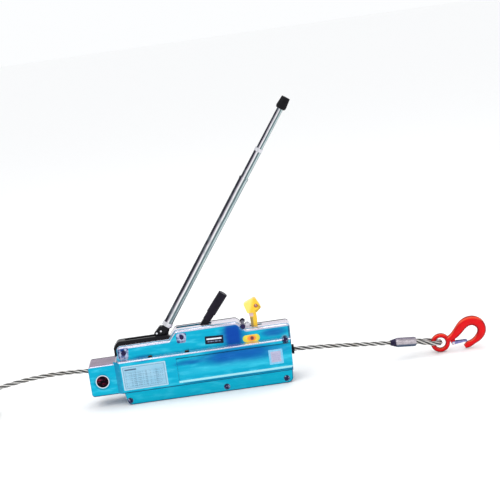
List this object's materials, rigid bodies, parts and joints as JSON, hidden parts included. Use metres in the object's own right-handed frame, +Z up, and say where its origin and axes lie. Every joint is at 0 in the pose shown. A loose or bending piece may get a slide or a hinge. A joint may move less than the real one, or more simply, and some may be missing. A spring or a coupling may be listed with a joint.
{
  "type": "wire rope hoist",
  "caption": "Hand-operated come along winch with a slim two-part casing, telescopic lever, reversing lever, anchor pin and a wire rope ending in a hook.",
  "frame": {"origin": "centre of the casing's base, on the plane it stands on", "axes": "+X along the rope towards the hook, +Z up, -Y is the labelled front side"},
  "size_m": [1.6876, 0.165, 0.7285],
  "materials": {
    "casing_paint": "cyan-blue metallic lacquer, bare and bright on the edges that face up",
    "steel": "machined steel",
    "dark_steel": "blackened steel",
    "black_paint": "satin black",
    "rubber_black": "matt black",
    "plastic_black": "matt black",
    "label_light": "printed film",
    "label_black": "printed film",
    "label_yellow": "printed film",
    "yellow_plastic": "moulded",
    "orange_plastic": "moulded",
    "handle_tube": "worn zinc and paint",
    "bronze": "sintered bearing bronze",
    "wire_rope": "greased galvanised strands",
    "aluminium": "pressed",
    "red_paint": "gloss red enamel",
    "spring_steel": "oiled spring wire",
    "anchor_dark": "dark oxide red"
  },
  "bodies": {
    "casing": {"front_shell": "casing_paint", "rear_shell": "casing_paint", "casing_bolts": "steel", "casing_nuts": "steel", "lever_shroud": "rubber_black", "hook_end_rope_guide": "plastic_black", "anchor_end_rope_guide": "plastic_black", "crank_bushes": "bronze", "nameplate": "label_light", "load_label": "label_light", "maker_plate": "label_black", "oval_label": "label_yellow", "catch_bracket": "steel", "catch_pin": "steel", "rope_inside": "wire_rope", "rope_front": "wire_rope", "rope_tail": "wire_rope", "rope_hank": "wire_rope", "rope_ties": "plastic_black", "rope_tip": "wire_rope", "ferrule": "aluminium", "rope_eye": "wire_rope", "thimble": "steel"},
    "forward_lever": {"forward_crank": "dark_steel", "forward_lever_arm": "black_paint", "shear_pins": "steel"},
    "handle_lower": {"handle_lower_tube": "handle_tube", "handle_collar": "steel", "handle_lower_ring": "steel"},
    "handle_middle": {"handle_middle_tube": "handle_tube", "handle_middle_ring": "steel"},
    "handle_upper": {"handle_upper_tube": "handle_tube", "handle_cap": "rubber_black"},
    "reverse_lever": {"reverse_crank": "dark_steel", "reverse_lever_arm": "black_paint", "reverse_lever_sleeve": "plastic_black"},
    "rear_carriage": {"rear_side_plates": "steel", "rear_lower_jaw": "dark_steel", "rear_jaw_pins": "steel", "rear_return_spring": "spring_steel"},
    "rear_upper_jaw": {"rear_upper_jaw": "dark_steel"},
    "front_carriage": {"front_side_plates": "steel", "front_lower_jaw": "dark_steel", "front_jaw_pins": "steel", "front_return_spring": "spring_steel"},
    "front_upper_jaw": {"front_upper_jaw": "dark_steel"},
    "release_lever": {"release_lever": "yellow_plastic", "release_lever_bush": "orange_plastic", "release_spindle": "steel"},
    "release_rod": {"release_rod": "steel"},
    "safety_catch": {"safety_catch": "steel"},
    "anchor_pin": {"anchor_pin": "anchor_dark"},
    "anchor_clip": {"anchor_clip": "spring_steel"},
    "hook": {"hook": "red_paint", "latch_pin": "steel"},
    "hook_latch": {"hook_latch": "steel"}
  },
  "joints": [
    {"name": "forward_lever_swing", "type": "hinge", "parent": "casing", "child": "forward_lever", "pos_m": [-0.099, 0, 0.11], "axis": [0, 1, 0], "range_deg": [-67, 0]},
    {"name": "handle_pull_off", "type": "slide", "parent": "forward_lever", "child": "handle_lower", "axis": [0.5779, 0, 0.8161], "range_m": [0, 0.09]},
    {"name": "handle_middle_slide", "type": "slide", "parent": "handle_lower", "child": "handle_middle", "axis": [0.5779, 0, 0.8161], "range_m": [0, 0.25]},
    {"name": "handle_upper_slide", "type": "slide", "parent": "handle_middle", "child": "handle_upper", "axis": [0.5779, 0, 0.8161], "range_m": [0, 0.25]},
    {"name": "reverse_lever_swing", "type": "hinge", "parent": "casing", "child": "reverse_lever", "pos_m": [-0.0035, 0, 0.11], "axis": [0, 1, 0], "range_deg": [-45.01, 0]},
    {"name": "rear_jaw_travel", "type": "slide", "parent": "casing", "child": "rear_carriage", "axis": [0.9994, 0, -0.0349], "range_m": [0, 0.02651], "deforming": ["rear_return_spring"]},
    {"name": "front_jaw_travel", "type": "slide", "parent": "casing", "child": "front_carriage", "axis": [0.9994, 0, -0.0349], "range_m": [-0.02651, 0], "deforming": ["front_return_spring"]},
    {"name": "release_lever_swing", "type": "hinge", "parent": "casing", "child": "release_lever", "pos_m": [0.176, 0, 0.141], "axis": [0, 1, 0], "range_deg": [0, 30], "stiffness_Nm_per_rad": 0.4, "springref_deg": -11.46},
    {"name": "release_rod_travel", "type": "slide", "parent": "casing", "child": "release_rod", "axis": [1, 0, 0], "range_m": [-0.0062, 0]},
    {"name": "rear_jaw_lift", "type": "slide", "parent": "rear_carriage", "child": "rear_upper_jaw", "axis": [0.0349, 0, 0.9994], "range_m": [0, 0.0025]},
    {"name": "front_jaw_lift", "type": "slide", "parent": "front_carriage", "child": "front_upper_jaw", "axis": [0.0349, 0, 0.9994], "range_m": [0, 0.0025]},
    {"name": "safety_catch_tilt", "type": "hinge", "parent": "casing", "child": "safety_catch", "pos_m": [0.159, 0, 0.1595], "axis": [0, 1, 0], "range_deg": [-25, 0], "stiffness_Nm_per_rad": 0.02, "springref_deg": 5.73},
    {"name": "anchor_pin_turn", "type": "hinge", "parent": "casing", "child": "anchor_pin", "pos_m": [-0.229, 0, 0.0705], "axis": [0, 1, 0], "continuous": true},
    {"name": "anchor_clip_pull", "type": "slide", "parent": "anchor_pin", "child": "anchor_clip", "axis": [0, 0, 1], "range_m": [0, 0.03]},
    {"name": "hook_swing", "type": "hinge", "parent": "casing", "child": "hook", "pos_m": [0.652, 0.03, 0.0255], "axis": [0, 1, 0], "range_deg": [-70, 0]},
    {"name": "hook_latch_swing", "type": "hinge", "parent": "hook", "child": "hook_latch", "pos_m": [0.6855, 0.03, 0.0205], "axis": [0, 1, 0], "range_deg": [-35, 0], "stiffness_Nm_per_rad": 0.02, "springref_deg": 8.59}
  ],
  "couplings": [
    {"joint": "reverse_lever_swing", "follows": "forward_lever_swing", "ratio": 0.67164},
    {"joint": "rear_jaw_travel", "follows": "forward_lever_swing", "m_per_rad": -0.022656},
    {"joint": "front_jaw_travel", "follows": "forward_lever_swing", "m_per_rad": 0.022656},
    {"joint": "release_rod_travel", "follows": "release_lever_swing", "m_per_rad": -0.01165},
    {"joint": "rear_jaw_lift", "follows": "release_lever_swing", "m_per_rad": 0.00477},
    {"joint": "front_jaw_lift", "follows": "release_lever_swing", "m_per_rad": 0.00477}
  ]
}
